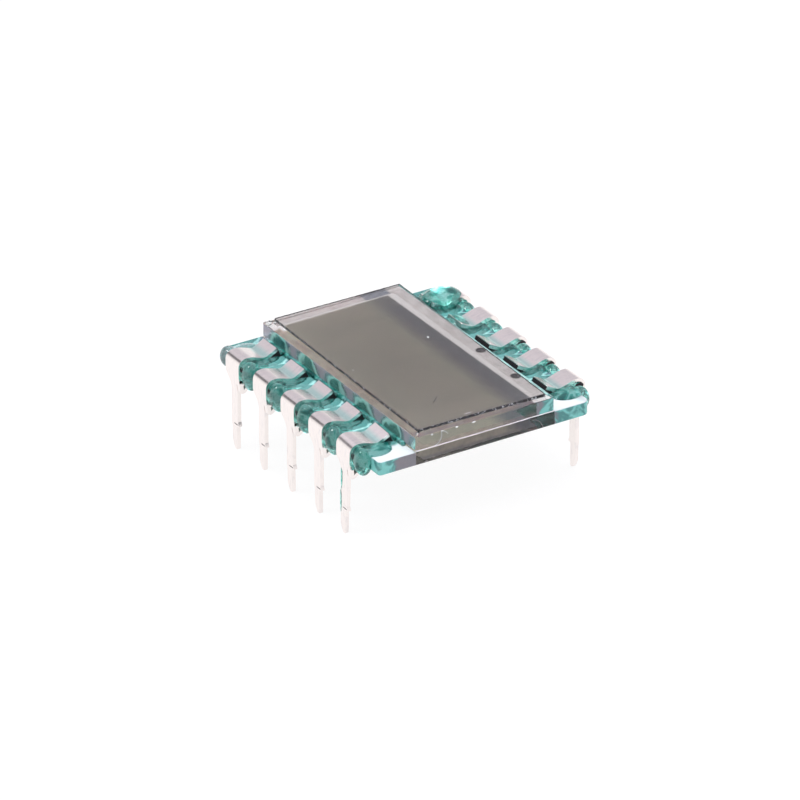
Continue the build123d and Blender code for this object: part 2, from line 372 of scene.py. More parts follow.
def wire(tree, kind, inputs=None, **settings):
    """Add a shader node with its settings; an input given a node or a socket is linked to it."""
    node = tree.nodes.new("ShaderNode" + kind)
    for key, value in settings.items():
        setattr(node, key, value)
    for key, value in (inputs or {}).items():
        if isinstance(value, bpy.types.Node):
            value = next(socket for socket in value.outputs if socket.enabled)
        if isinstance(value, bpy.types.NodeSocket):
            tree.links.new(value, node.inputs[key])
        else:
            node.inputs[key].default_value = value
    return node


def new_material(name):
    """Empty node material, its tree and the object coordinates that its patterns read."""
    material = bpy.data.materials.new(name)
    material.use_nodes = True
    tree = material.node_tree
    tree.nodes.clear()
    return material, tree, wire(tree, "TexCoord").outputs["Object"]


def close(material, shader):
    """Send a shader to the material's output, and return the material."""
    wire(material.node_tree, "OutputMaterial", {"Surface": shader})
    return material


def per(millimetres):
    """Noise scale whose features are about this large."""
    return 1 / (millimetres * MM)


def tinned_steel():
    """Hot-tinned steel strip, blanked and bent: bright and streaked, with a painted teal reflection of
    the resin at the lip.
    """
    pins = bpy.context.scene.lcd_pins
    material, tree, coords = new_material("tinned_steel_blanked_strip")
    drawn = wire(tree, "Mapping", {"Vector": coords, "Scale": (2.5, 0.5, 0.5)})
    streaks = wire(tree, "TexNoise", {"Vector": drawn, "Scale": per(0.3), "Detail": 3.0})
    share = wire(
        tree, "MapRange", {"Value": streaks, "From Min": 0.5, "From Max": 0.75, "To Max": 0.6},
        interpolation_type="SMOOTHSTEP",
    )
    tin = wire(tree, "Mix", {SHARE: share, FIRST: pins.steel, SECOND: pins.dull}, data_type="RGBA")
    axes = wire(tree, "SeparateXYZ", {"Vector": coords})
    across = wire(tree, "Math", {0: axes.outputs["Y"]}, operation="ABSOLUTE")
    # Painted reflection: a teal band across the valley of the lip, where it mirrors the resin
    outer = wire(
        tree, "MapRange",
        {"Value": across, "From Min": (LIP_END + 1.05) * MM, "From Max": (LIP_END + 0.72) * MM},
        interpolation_type="SMOOTHSTEP",
    )
    inner = wire(
        tree, "MapRange",
        {
            "Value": across,
            "From Min": (LIP_END + 0.3) * MM,
            "From Max": (LIP_END + 0.6) * MM,
            "To Max": 0.55,
        },
        interpolation_type="SMOOTHSTEP",
    )
    smear_and_reflection = wire(tree, "Math", {0: outer, 1: inner}, operation="MULTIPLY")
    tin = wire(tree, "Mix", {SHARE: smear_and_reflection, FIRST: tin, SECOND: pins.smear_and_reflection}, data_type="RGBA")
    grain = wire(tree, "TexNoise", {"Vector": coords, "Scale": per(0.1)})
    rough = wire(tree, "MapRange", {"Value": grain, "To Min": 0.14, "To Max": 0.3})
    bump = wire(tree, "Bump", {"Height": grain, "Strength": 0.06, "Distance": 0.01 * MM})
    shader = wire(
        tree, "BsdfPrincipled",
        {"Base Color": tin, "Metallic": 1.0, "Roughness": rough, "Normal": bump},
    )
    return close(material, shader)


def black_specks_and_shade():
    """Matt black with a brown cast: painted shade in the pocket under a lip and in the nick of the
    leg, and dark specks by the knee.
    """
    char = bpy.context.scene.lcd_pins.char
    material, tree, coords = new_material("black_specks_and_painted_shade")
    blotches = wire(tree, "TexNoise", {"Vector": coords, "Scale": per(0.08), "Detail": 3.0})
    tone = wire(
        tree, "Mix", {SHARE: blotches, FIRST: char, SECOND: linear("2E2A2C")}, data_type="RGBA"
    )
    shader = wire(
        tree, "BsdfPrincipled", {"Base Color": tone, "Roughness": 0.55, "Specular IOR Level": 0.2}
    )
    return close(material, shader)


def float_glass():
    """Drawn float glass: clear and smooth, with faint smears from handling."""
    body = bpy.context.scene.lcd_glass.body
    material, tree, coords = new_material("float_glass_drawn")
    smear_and_reflection = wire(tree, "TexNoise", {"Vector": coords, "Scale": per(1.5), "Detail": 5.0})
    rough = wire(tree, "MapRange", {"Value": smear_and_reflection, "From Min": 0.4, "From Max": 0.8, "To Max": 0.05})
    tone = wire(tree, "Mix", {SHARE: smear_and_reflection, FIRST: body, SECOND: WHITE}, data_type="RGBA")
    shader = wire(
        tree, "BsdfPrincipled",
        {"Base Color": tone, "Roughness": rough, "IOR": GLASS_IOR, "Transmission Weight": 1.0},
    )
    return close(material, shader)


def wetted_ledge():
    """Glass by the contacts, wetted by thin resin: a teal scallop round each contact, edged with
    painted shade and a painted highlight, and painted light at the front corner.
    """
    pale = bpy.context.scene.lcd_resin.pale
    material, tree, coords = new_material("float_glass_resin_wetted_ledge")
    ripple = wire(tree, "TexNoise", {"Vector": coords, "Scale": per(0.8), "Detail": 3.0})
    axes = wire(tree, "SeparateXYZ", {"Vector": coords})
    along = wire(tree, "Math", {0: axes.outputs["X"], 1: PIN_PLACES[0] * MM}, operation="SUBTRACT")
    along = wire(
        tree, "Math", {0: along, 1: PITCH / 2 * MM, 2: -PITCH / 2 * MM}, operation="WRAP"
    )
    across = wire(tree, "Math", {0: axes.outputs["Y"]}, operation="ABSOLUTE")
    across = wire(tree, "Math", {0: across, 1: (LIP_END + 0.6) * MM}, operation="SUBTRACT")
    rise = wire(tree, "Math", {0: axes.outputs["Z"], 1: LEDGE * MM}, operation="SUBTRACT")
    offset = wire(tree, "CombineXYZ", {"X": along, "Y": across, "Z": rise})
    distance = wire(tree, "VectorMath", {0: offset}, operation="LENGTH")
    distance = wire(tree, "Math", {0: ripple, 1: 0.5 * MM, 2: distance}, operation="MULTIPLY_ADD")
    reach = wire(tree, "MapRange", {"Value": distance, "From Max": 2.4 * MM})
    # Teal scallop, then a painted dark rim and a painted bright mint highlight at its edge, then
    # greyish lavender farther out
    tones = wire(tree, "ValToRGB", {"Fac": reach})
    stops = tones.color_ramp.elements
    stops[0].position, stops[0].color = 0.0, linear("4E9E98")
    stops[1].position, stops[1].color = 1.0, linear("9FA3B2")
    for position, code in (
        (0.45, "4C9C96"),
        (0.62, "3A827E"),
        (0.65, "8FE0D8"),
        (0.67, "A8E8E2"),
        (0.7, "5F8F98"),
        (0.78, "A2A4B4"),
    ):
        stops.new(position).color = linear(code)
    # Painted light: the top of the ledge turns pale at its front corner, standing for the lit floor
    # seen through it
    end = wire(
        tree, "MapRange",
        {"Value": axes.outputs["X"], "From Min": 5.9 * MM, "From Max": 6.2 * MM},
        interpolation_type="SMOOTHSTEP",
    )
    flat = wire(tree, "Math", {0: rise, 1: 0.03 * MM}, operation="LESS_THAN")
    end = wire(tree, "Math", {0: end, 1: flat}, operation="MULTIPLY")
    tone = wire(tree, "Mix", {SHARE: end, FIRST: tones, SECOND: pale}, data_type="RGBA")
    rough = wire(tree, "MapRange", {"Value": ripple, "To Max": 0.06})
    bump = wire(tree, "Bump", {"Height": tones, "Strength": 0.4, "Distance": 0.04 * MM})
    shader = wire(
        tree, "BsdfPrincipled",
        {
            "Base Color": tone,
            "Roughness": rough,
            "IOR": GLASS_IOR,
            "Transmission Weight": 0.55,
            "Normal": bump,
        },
    )
    return close(material, shader)


def broken_glass(name, tint, clear):
    """Scribed and broken glass edge: tinted by what it mirrors, with ripples along the break."""
    material, tree, coords = new_material(name)
    ripple = wire(
        tree, "TexNoise", {"Vector": coords, "Scale": per(0.35), "Detail": 3.0, "Distortion": 0.6}
    )
    tone = wire(tree, "Mix", {SHARE: ripple, FIRST: tint, SECOND: clear}, data_type="RGBA")
    rough = wire(tree, "MapRange", {"Value": ripple, "To Max": 0.12})
    bump = wire(tree, "Bump", {"Height": ripple, "Strength": 0.35, "Distance": 0.05 * MM})
    shader = wire(
        tree, "BsdfPrincipled",
        {
            "Base Color": tone,
            "Roughness": rough,
            "IOR": GLASS_IOR,
            "Transmission Weight": 1.0,
            "Normal": bump,
        },
    )
    return close(material, shader)


def clear_layer(name, code, veil, grain, rough=0.5):
    """Face or layer that is nearly unseen and reflects nothing: a faint veil of one colour."""
    material, tree, coords = new_material(name)
    cloud = wire(tree, "TexNoise", {"Vector": coords, "Scale": per(grain)})
    share = wire(tree, "MapRange", {"Value": cloud, "To Max": veil})
    shader = wire(
        tree, "BsdfPrincipled",
        {"Base Color": linear(code), "Roughness": rough, "Specular IOR Level": 0.0, "Alpha": share},
    )
    return close(material, shader)


def polariser_face():
    """Stretched and dyed film with a satin hard coat: clear, so its shade lies at its back."""
    coat = bpy.context.scene.lcd_films.coat
    material, tree, coords = new_material("polariser_film_hard_coat")
    orange = wire(tree, "TexNoise", {"Vector": coords, "Scale": per(0.3), "Detail": 3.0})
    rough = wire(tree, "MapRange", {"Value": orange, "To Min": 0.12, "To Max": 0.24})
    bump = wire(tree, "Bump", {"Height": orange, "Strength": 0.1, "Distance": 0.01 * MM})
    shader = wire(
        tree, "BsdfPrincipled",
        {
            "Base Color": coat,
            "Roughness": rough,
            "IOR": PLASTIC_IOR,
            "Transmission Weight": 1.0,
            "Normal": bump,
        },
    )
    return close(material, shader)


def polariser_dye():
    """Dyed layer of the film, seen from above: lets about two thirds of the light through."""
    films = bpy.context.scene.lcd_films
    material, tree, coords = new_material("polariser_film_dyed_layer")
    mottle = wire(tree, "TexNoise", {"Vector": coords, "Scale": per(2.5), "Detail": 4.0})
    stop = 1 - films.see_through
    share = wire(tree, "MapRange", {"Value": mottle, "To Min": stop - 0.03, "To Max": stop + 0.03})
    tone = wire(
        tree, "Mix", {SHARE: mottle, FIRST: films.grey, SECOND: linear("403E3A")}, data_type="RGBA"
    )
    shader = wire(
        tree, "BsdfPrincipled",
        {"Base Color": tone, "Roughness": 0.9, "Specular IOR Level": 0.0, "Alpha": share},
    )
    return close(material, shader)


def film_cut():
    """Knife-cut edge of the film: nearly black with pale flecks of lifted glue."""
    material, tree, coords = new_material("polariser_film_knife_cut")
    flecks = wire(tree, "TexNoise", {"Vector": coords, "Scale": per(0.12)})
    share = wire(tree, "MapRange", {"Value": flecks, "From Min": 0.57, "From Max": 0.65})
    tone = wire(
        tree, "Mix", {SHARE: share, FIRST: linear("1D1E22"), SECOND: linear("C9CDD0")},
        data_type="RGBA",
    )
    shader = wire(tree, "BsdfPrincipled", {"Base Color": tone, "Roughness": 0.4})
    return close(material, shader)


def reflector():
    """Rear film on its diffuse aluminised reflector: even grey, with painted shade darkening it near
    its far sides.
    """
    films = bpy.context.scene.lcd_films
    material, tree, coords = new_material("polariser_film_on_diffuse_reflector")
    axes = wire(tree, "SeparateXYZ", {"Vector": coords})
    # Painted shade: a soft band along the +Y side, weaker towards the back, and a darker strip along
    # the front edge
    right = wire(
        tree, "MapRange", {"Value": axes.outputs["Y"], "From Min": 1.3 * MM, "From Max": 2.6 * MM},
        interpolation_type="SMOOTHSTEP",
    )
    inward = wire(
        tree, "MapRange",
        {"Value": axes.outputs["X"], "From Min": -6.3 * MM, "From Max": -4.6 * MM, "To Min": 0.6},
    )
    right = wire(tree, "Math", {0: right, 1: inward}, operation="MULTIPLY")
    front = wire(
        tree, "MapRange",
        {"Value": axes.outputs["X"], "From Min": 5.9 * MM, "From Max": 6.5 * MM, "To Max": 0.7},
        interpolation_type="SMOOTHSTEP",
    )
    dark = wire(tree, "Math", {0: right, 1: front}, operation="MAXIMUM")
    base = wire(
        tree, "Mix", {SHARE: dark, FIRST: films.reflector, SECOND: films.band}, data_type="RGBA"
    )
    mottle = wire(tree, "TexNoise", {"Vector": coords, "Scale": per(3.0), "Detail": 3.0})
    wavy = wire(tree, "MapRange", {"Value": mottle, "To Min": 0.9, "To Max": 1.06})
    tone = wire(
        tree, "Mix", {SHARE: 1.0, FIRST: base, SECOND: wavy}, data_type="RGBA", blend_type="MULTIPLY"
    )
    shader = wire(
        tree, "BsdfPrincipled", {"Base Color": tone, "Roughness": 0.8, "Specular IOR Level": 0.0}
    )
    return close(material, shader)


def foil_back():
    """Back of the reflector: laminated aluminium foil with a grey rolled grain."""
    material, tree, coords = new_material("aluminium_foil_laminated")
    drawn = wire(tree, "Mapping", {"Vector": coords, "Scale": (0.2, 2.0, 1.0)})
    rolled = wire(tree, "TexNoise", {"Vector": drawn, "Scale": per(0.3), "Detail": 4.0})
    tone = wire(
        tree, "Mix", {SHARE: rolled, FIRST: linear("8F9296"), SECOND: linear("C4C7C9")},
        data_type="RGBA",
    )
    rough = wire(tree, "MapRange", {"Value": rolled, "To Min": 0.35, "To Max": 0.6})
    shader = wire(tree, "BsdfPrincipled", {"Base Color": tone, "Metallic": 0.85, "Roughness": rough})
    return close(material, shader)


def seal_epoxy():
    """Screen-printed epoxy seal with glass spacers: milky and see-through, with voids."""
    material, tree, coords = new_material("seal_epoxy_screen_printed")
    voids = wire(tree, "TexNoise", {"Vector": coords, "Scale": per(0.6)})
    share = wire(
        tree, "MapRange",
        {"Value": voids, "From Min": 0.4, "From Max": 0.6, "To Min": 0.09, "To Max": 0.16},
    )
    shader = wire(
        tree, "BsdfPrincipled",
        {
            "Base Color": linear("F8B4B2"),
            "Roughness": 0.6,
            "Specular IOR Level": 0.0,
            "Alpha": share,
        },
    )
    return close(material, shader)


def seal_edge():
    """Squeezed-out rim of the seal between the plates' edges: opaque white."""
    material, tree, coords = new_material("seal_epoxy_squeezed_rim")
    beads = wire(tree, "TexNoise", {"Vector": coords, "Scale": per(0.4), "Detail": 3.0})
    tone = wire(
        tree, "Mix", {SHARE: beads, FIRST: linear("B8B4BA"), SECOND: WHITE}, data_type="RGBA"
    )
    shader = wire(tree, "BsdfPrincipled", {"Base Color": tone, "Roughness": 0.35})
    return close(material, shader)


def crushed_glass():
    """Crushed glass in a crack or a chip: white, with a fine sparkle."""
    material, tree, coords = new_material("float_glass_crushed")
    powder = wire(tree, "TexNoise", {"Vector": coords, "Scale": per(0.05)})
    tone = wire(
        tree, "Mix", {SHARE: powder, FIRST: linear("D5DDDE"), SECOND: WHITE}, data_type="RGBA"
    )
    rough = wire(tree, "MapRange", {"Value": powder, "To Min": 0.25, "To Max": 0.6})
    shader = wire(tree, "BsdfPrincipled", {"Base Color": tone, "Roughness": rough})
    return close(material, shader)


def dot_paste():
    """Cured silver-loaded paste: dull purplish grey with a metal glint."""
    material, tree, coords = new_material("silver_paste_cured")
    flakes = wire(tree, "TexNoise", {"Vector": coords, "Scale": per(0.05)})
    tone = wire(
        tree, "Mix", {SHARE: flakes, FIRST: linear("150F18"), SECOND: linear("382E3C")},
        data_type="RGBA",
    )
    shader = wire(tree, "BsdfPrincipled", {"Base Color": tone, "Metallic": 0.3, "Roughness": 0.6})
    return close(material, shader)


def potting_resin():
    """Dyed resin dripped on and cured: glossy and see-through, in noise swirls of teal that are partly
    its own tone and partly painted highlights and painted shade.
    """
    resin = bpy.context.scene.lcd_resin
    material, tree, coords = new_material("teal_resin_dripped_and_cured")
    # Swirls by noise, not by thickness: the pale bands are partly painted highlights, the darkest
    # stops partly painted shade
    depth = wire(
        tree, "TexNoise", {"Vector": coords, "Scale": per(0.9), "Detail": 3.0, "Distortion": 1.4}
    )
    swirls_and_glints = wire(tree, "ValToRGB", {"Fac": depth})
    stops = swirls_and_glints.color_ramp.elements
    stops[0].position, stops[0].color = 0.34, linear("1F7B77")
    stops[1].position, stops[1].color = 0.7, linear("23867F")
    for position, tone in (
        (0.42, resin.dark_swirl),
        (0.46, resin.teal),
        (0.54, resin.teal),
        (0.59, resin.dark_swirl),
    ):
        stops.new(position).color = tone
    axes = wire(tree, "SeparateXYZ", {"Vector": coords})
    back = wire(
        tree, "MapRange", {"Value": axes.outputs["X"], "From Min": -5.5 * MM, "From Max": -6.1 * MM},
        interpolation_type="SMOOTHSTEP",
    )
    left = wire(tree, "Math", {0: axes.outputs["Y"], 1: 0.0}, operation="LESS_THAN")
    clear = wire(tree, "Math", {0: back, 1: left}, operation="MULTIPLY")
    tone = wire(tree, "Mix", {SHARE: clear, FIRST: swirls_and_glints, SECOND: resin.pale}, data_type="RGBA")
    skin = wire(tree, "TexNoise", {"Vector": coords, "Scale": per(0.25), "Detail": 3.0})
    rough = wire(tree, "MapRange", {"Value": skin, "To Max": 0.08})
    bump = wire(tree, "Bump", {"Height": skin, "Strength": 0.35, "Distance": 0.04 * MM})
    shader = wire(
        tree, "BsdfPrincipled",
        {
            "Base Color": tone,
            "Roughness": rough,
            "IOR": PLASTIC_IOR,
            "Transmission Weight": 0.9,
            "Normal": bump,
        },
    )
    return close(material, shader)


def stained_edge(name, line, aside=0):
    """Scribed glass edge that the resin has wicked over: teal out from a line, grey inside it."""
    material, tree, coords = new_material(name)
    flow = wire(
        tree, "TexNoise", {"Vector": coords, "Scale": per(0.7), "Detail": 4.0, "Distortion": 1.2}
    )
    share = wire(
        tree, "MapRange", {"Value": flow, "From Min": 0.4, "From Max": 0.6},
        interpolation_type="SMOOTHSTEP",
    )
    wetted = wire(
        tree, "Mix", {SHARE: share, FIRST: linear("4C8F8C"), SECOND: linear("7FD0C8")},
        data_type="RGBA",
    )
    axes = wire(tree, "SeparateXYZ", {"Vector": coords})
    across = wire(tree, "Math", {0: axes.outputs["Y"], 1: aside * MM}, operation="ADD")
    across = wire(tree, "Math", {0: across}, operation="ABSOLUTE")
    reach = wire(tree, "Math", {0: share, 1: 0.3 * MM, 2: across}, operation="MULTIPLY_ADD")
    dry = wire(
        tree, "MapRange",
        {"Value": reach, "From Min": (line + 0.15) * MM, "From Max": (line - 0.15) * MM},
        interpolation_type="SMOOTHSTEP",
    )
    tone = wire(
        tree, "Mix", {SHARE: dry, FIRST: wetted, SECOND: linear("7F7F86")}, data_type="RGBA"
    )
    bump = wire(tree, "Bump", {"Height": flow, "Strength": 0.5, "Distance": 0.06 * MM})
    shader = wire(
        tree, "BsdfPrincipled",
        {
            "Base Color": tone,
            "Roughness": 0.06,
            "IOR": PLASTIC_IOR,
            "Transmission Weight": 0.45,
            "Normal": bump,
        },
    )
    return close(material, shader)


def plug_resin():
    """Light-cured plug adhesive: bluish, clear and glossy."""
    material, tree, coords = new_material("plug_adhesive_light_cured")
    swirl = wire(tree, "TexNoise", {"Vector": coords, "Scale": per(0.3)})
    tone = wire(
        tree, "Mix", {SHARE: swirl, FIRST: linear("8C98AA"), SECOND: linear("C6CEDA")},
        data_type="RGBA",
    )
    shader = wire(
        tree, "BsdfPrincipled",
        {"Base Color": tone, "Roughness": 0.08, "IOR": PLASTIC_IOR, "Transmission Weight": 0.8},
    )
    return close(material, shader)


# Stations along a left-row pin: distance out, height, and the strip's two edges along X
PIN_STATIONS = [
    (LEG_LINE, 0.0, 0.03, 0.19),
    (LEG_LINE, 0.12, -0.06, 0.2),
    (LEG_LINE, 0.4, -0.2, 0.21),
    (LEG_LINE, 0.8, -0.22, 0.2),
    (LEG_LINE, NICK - 0.14, -0.23, 0.19),
    (LEG_LINE, NICK - 0.06, -0.25, 0.2),
    (LEG_LINE, NICK - 0.02, -0.27, 0.37),
    (LEG_LINE, NICK + 0.09, -HALF_LEG, 0.33),
    (LEG_LINE, NICK + 0.2, -HALF_LEG, HALF_LEG),
    (LEG_LINE, 3.25, -HALF_LEG, HALF_LEG),
    (LEG_LINE + 0.03, 3.42, -HALF_LEG, HALF_LEG),
    (LEG_LINE + 0.053, 3.6, -0.33, HALF_LEG),
    (LEG_LINE + 0.055, 3.61, -0.34, 0.58),
    (LEG_LINE + 0.076, 3.75, -0.42, HALF_HEAD),
    (LEG_LINE + 0.1, 3.9, -0.52, HALF_HEAD),
    (KNEE_LINE - 0.01, 4.03, -0.58, HALF_HEAD),
    (KNEE_LINE, 4.15, -HALF_HEAD, HALF_HEAD),
    (KNEE_LINE, HEAD_LINE, -HALF_HEAD, HALF_HEAD),
    (KNEE_LINE - 0.55, HEAD_LINE, -HALF_HEAD, HALF_HEAD),
    (LIP_END + 0.8, CONTACT_LINE, -HALF_HEAD, HALF_HEAD),
    (LIP_END + 0.6, CONTACT_LINE, -HALF_HEAD, HALF_HEAD),
    (LIP_END, CONTACT_LINE + 0.32, -HALF_HEAD, HALF_HEAD),
]

# Bends of the strip: place on it, setback of the arc, number of segments
PIN_BENDS = [
    ((KNEE_LINE, HEAD_LINE), 0.33, 8),
    ((KNEE_LINE - 0.55, HEAD_LINE), 0.14, 5),
    ((LIP_END + 0.8, CONTACT_LINE), 0.07, 4),
    ((LIP_END + 0.6, CONTACT_LINE), 0.07, 4),
]

# Stations and bends of the prong that grips the glass from below
PRONG_STATIONS = [
    (LEG_LINE + 0.104, UNDERSIDE, 0.33, 0.6),
    (LEG_LINE + 0.06, UNDERSIDE - 0.3, 0.33, 0.6),
    (LEG_LINE, UNDERSIDE - 0.72, 0.35, 0.58),
    (REAR_HALF - 0.35, UNDERSIDE - STRIP / 2, 0.35, 0.58),
    (REAR_HALF - 0.55, UNDERSIDE - STRIP / 2, 0.35, 0.58),
    (REAR_HALF - 0.8, UNDERSIDE - STRIP / 2 - 0.12, 0.37, 0.56),
]
PRONG_BENDS = [
    ((LEG_LINE, UNDERSIDE - 0.72), 0.16, 5),
    ((REAR_HALF - 0.35, UNDERSIDE - STRIP / 2), 0.1, 4),
    ((REAR_HALF - 0.55, UNDERSIDE - STRIP / 2), 0.06, 3),
]

# Pins whose leg is broken off at its nick, pins whose lip is buried in resin with no open
# pocket, and how far a pin leans along its row, in degrees
BROKEN = {("right", 4)}
BURIED = {("right", 1), ("right", 2)}
LEANS = {("left", 5): 3.2, ("left", 4): 0.5, ("left", 2): 0.4, ("right", 5): 0.6}


def draw_strip(stations, bends):
    """Strip of sheet drawn station by station, bent at its corners and given its thickness."""
    begin()
    out, height, near, far = stations[0]
    start = Vector(((near + far) / 2, -out, height))
    bpy.ops.mesh.primitive_plane_add(size=1, location=start, rotation=(math.pi / 2, 0, 0))
    strip = settle()
    edit(strip)
    pick("VERT", lambda v: v.co.z > height)
    bpy.ops.mesh.delete(type="VERT")
    pick("VERT", lambda v: True)
    bpy.ops.transform.resize(value=(far - near, 1, 1), center_override=start - Vector((0, 0, 0.5)))
    bpy.ops.transform.translate(value=(0, 0, 0.5))
    for (out, height, near, far), (out_2, height_2, near_2, far_2) in zip(stations, stations[1:]):
        centre, centre_2 = (near + far) / 2, (near_2 + far_2) / 2
        step = (centre_2 - centre, out - out_2, height_2 - height)
        bpy.ops.mesh.extrude_region_move(TRANSFORM_OT_translate={"value": step})
        bpy.ops.transform.resize(
            value=((far_2 - near_2) / (far - near), 1, 1),
            center_override=(centre_2, -out_2, height_2),
        )
    for (out, height), setback, segments in bends:
        corner = Vector((0, -out, height))
        pick(
            "EDGE",
            lambda e: span(e, X) > 0.1 and (middle(e) * Vector((0, 1, 1)) - corner).length < 0.002,
        )
        bpy.ops.mesh.bevel(offset=setback, segments=segments, affect="EDGES")
    apply_modifier(strip, "SOLIDIFY", thickness=STRIP, offset=0, use_even_offset=True)
    return strip


def model_pin():
    """One clip pin of the left row: strip, prong, and a black block of painted shade in the pocket
    under its lip.
    """
    pins = bpy.context.scene.lcd_pins
    strip = join([draw_strip(PIN_STATIONS, PIN_BENDS), draw_strip(PRONG_STATIONS, PRONG_BENDS)])
    apply_modifier(
        strip, "BEVEL", width=pins.edge_round / MM, segments=2, limit_method="ANGLE",
        angle_limit=math.radians(50),
    )
    edit(strip)
    face_outwards()
    half = HALF_HEAD - PLAY
    # Black block that fills the hollow under the lip: painted shade
    pocket = block((-half, -LIP_END - 0.62, LEDGE + 0.012), (half, -LIP_END, LEDGE + 0.49))
    edit(pocket)
    shift(lambda v: v.co.z > LEDGE + 0.1 and v.co.y < -LIP_END - 0.3, (0, 0, -0.47))
    shift(lambda v: v.co.z < LEDGE + 0.1 and v.co.y > -LIP_END - 0.1, (0, 0.21, 0))
    apply_modifier(pocket, "BEVEL", width=FINE_EDGE, segments=2)
    # Dark specks by the knee, and a thin dark line of painted shade in the nick
    specks = [
        blob((0.66, -KNEE_LINE + 0.12, HEAD_LINE - 0.5), (0.06, 0.1, 0.16)),
        blob((-0.66, -KNEE_LINE + 0.28, HEAD_LINE - 0.26), (0.1, 0.24, 0.15)),
        blob((0.12, -LEG_LINE - 0.1, NICK + 0.05), (0.19, 0.012, 0.022)),
    ]
    pocket = join([pocket, *specks])
    strip.data.materials.append(tinned_steel())
    pocket.data.materials.append(black_specks_and_shade())
    return join([strip, pocket])


def snap_leg(pin, side):
    """Take off the leg below its nick, with a slightly slanted break."""
    edit(pin)
    bpy.ops.mesh.select_all(action="SELECT")
    bpy.ops.mesh.bisect(
        plane_co=(0, side * LEG_LINE, NICK + 0.02), plane_no=(0, 0.12, 1),
        clear_inner=True, use_fill=True,
    )


class LCD_OT_clip_pins(Operator):
    """Model one clip pin and set ten of them along the two rows"""

    bl_idname = "lcd.clip_pins"
    bl_label = "Clip pins"

    def execute(self, context):
        pattern = model_pin()
        knee = Matrix.Translation((0, -KNEE_LINE, HEAD_LINE))
        for row, side in ROWS.items():
            turn = Matrix.Rotation(math.pi if side > 0 else 0, 4, "Z")
            for number, x in enumerate(PIN_PLACES, start=1):
                take(pattern)
                bpy.ops.object.duplicate()
                pin = context.object
                pin.data = pin.data.copy()
                lean = Matrix.Rotation(math.radians(LEANS.get((row, number), 0)), 4, "Y")
                pin.matrix_world = Matrix.Translation((x, 0, 0)) @ turn @ knee @ lean @ knee.inverted()
                settle()
                pin.location.z = max(0, -min(v.co.z for v in pin.data.vertices))
                settle()
                if (row, number) in BROKEN:
                    snap_leg(pin, side)
                if (row, number) in BURIED:
                    edit(pin)
                    pick("FACE", lambda f: f.material_index == 1)
                    bpy.ops.mesh.delete(type="FACE")
                node = f"clip_pin_{row}_{number}"
                finish_piece(pin, f"tinned_pin_{row}_{number}", [node])
        bpy.data.objects.remove(pattern)
        return {"FINISHED"}


def plate_blank(low, high, worn, edge_round):
    """Glass blank with its corners and edges broken, the front right-hand corner by its own size."""
    plate = block(low, high)
    corner = Vector(high).xy
    edit(plate)
    pick("EDGE", lambda e: span(e, Z) > 0.1 and (middle(e).xy - corner).length < 0.1)
    bpy.ops.mesh.bevel(offset=worn, segments=5, affect="EDGES")
    pick("EDGE", lambda e: span(e, Z) > 0.1 and (middle(e).xy - corner).length > 1)
    bpy.ops.mesh.bevel(offset=CORNER, segments=2, affect="EDGES")
    apply_modifier(
        plate, "BEVEL", width=edge_round, segments=2, limit_method="ANGLE",
        angle_limit=math.radians(40),
    )
    return plate


def on_display(face):
    """Whether a face is the large middle one of the front plate's top, under the film."""
    centre = middle(face)
    return face.normal.z > FACING and abs(centre.x - 0.2) < 0.1 and abs(centre.y) < 0.1


